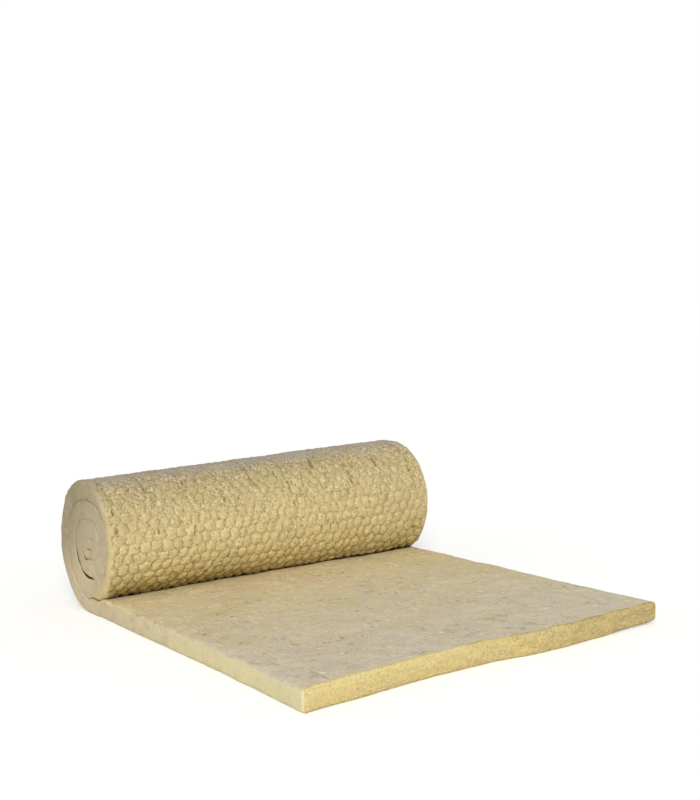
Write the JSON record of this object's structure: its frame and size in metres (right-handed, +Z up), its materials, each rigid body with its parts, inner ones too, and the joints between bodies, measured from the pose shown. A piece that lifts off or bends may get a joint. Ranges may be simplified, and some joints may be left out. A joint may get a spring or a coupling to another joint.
{
  "type": "insulation roll",
  "caption": "Stone wool insulation mat, partly unrolled: a coreless roll of soft felt lying on its own flat tail, to be unrolled and cut over lofts, floors, ducts or tanks.",
  "frame": {"origin": "on the floor, at the centre of the footprint", "axes": "+X along the roll's axis, the flat tail towards -Y and the roll towards +Y, +Z up"},
  "size_m": [1, 1.2418, 0.36],
  "materials": {
    "stone_wool": "matte felted mineral fibre, tan on the roll's outside, beige on the tail's top and yellower where it is cut"
  },
  "bodies": {
    "root": {"wool_mat": "stone_wool"}
  },
  "joints": []
}
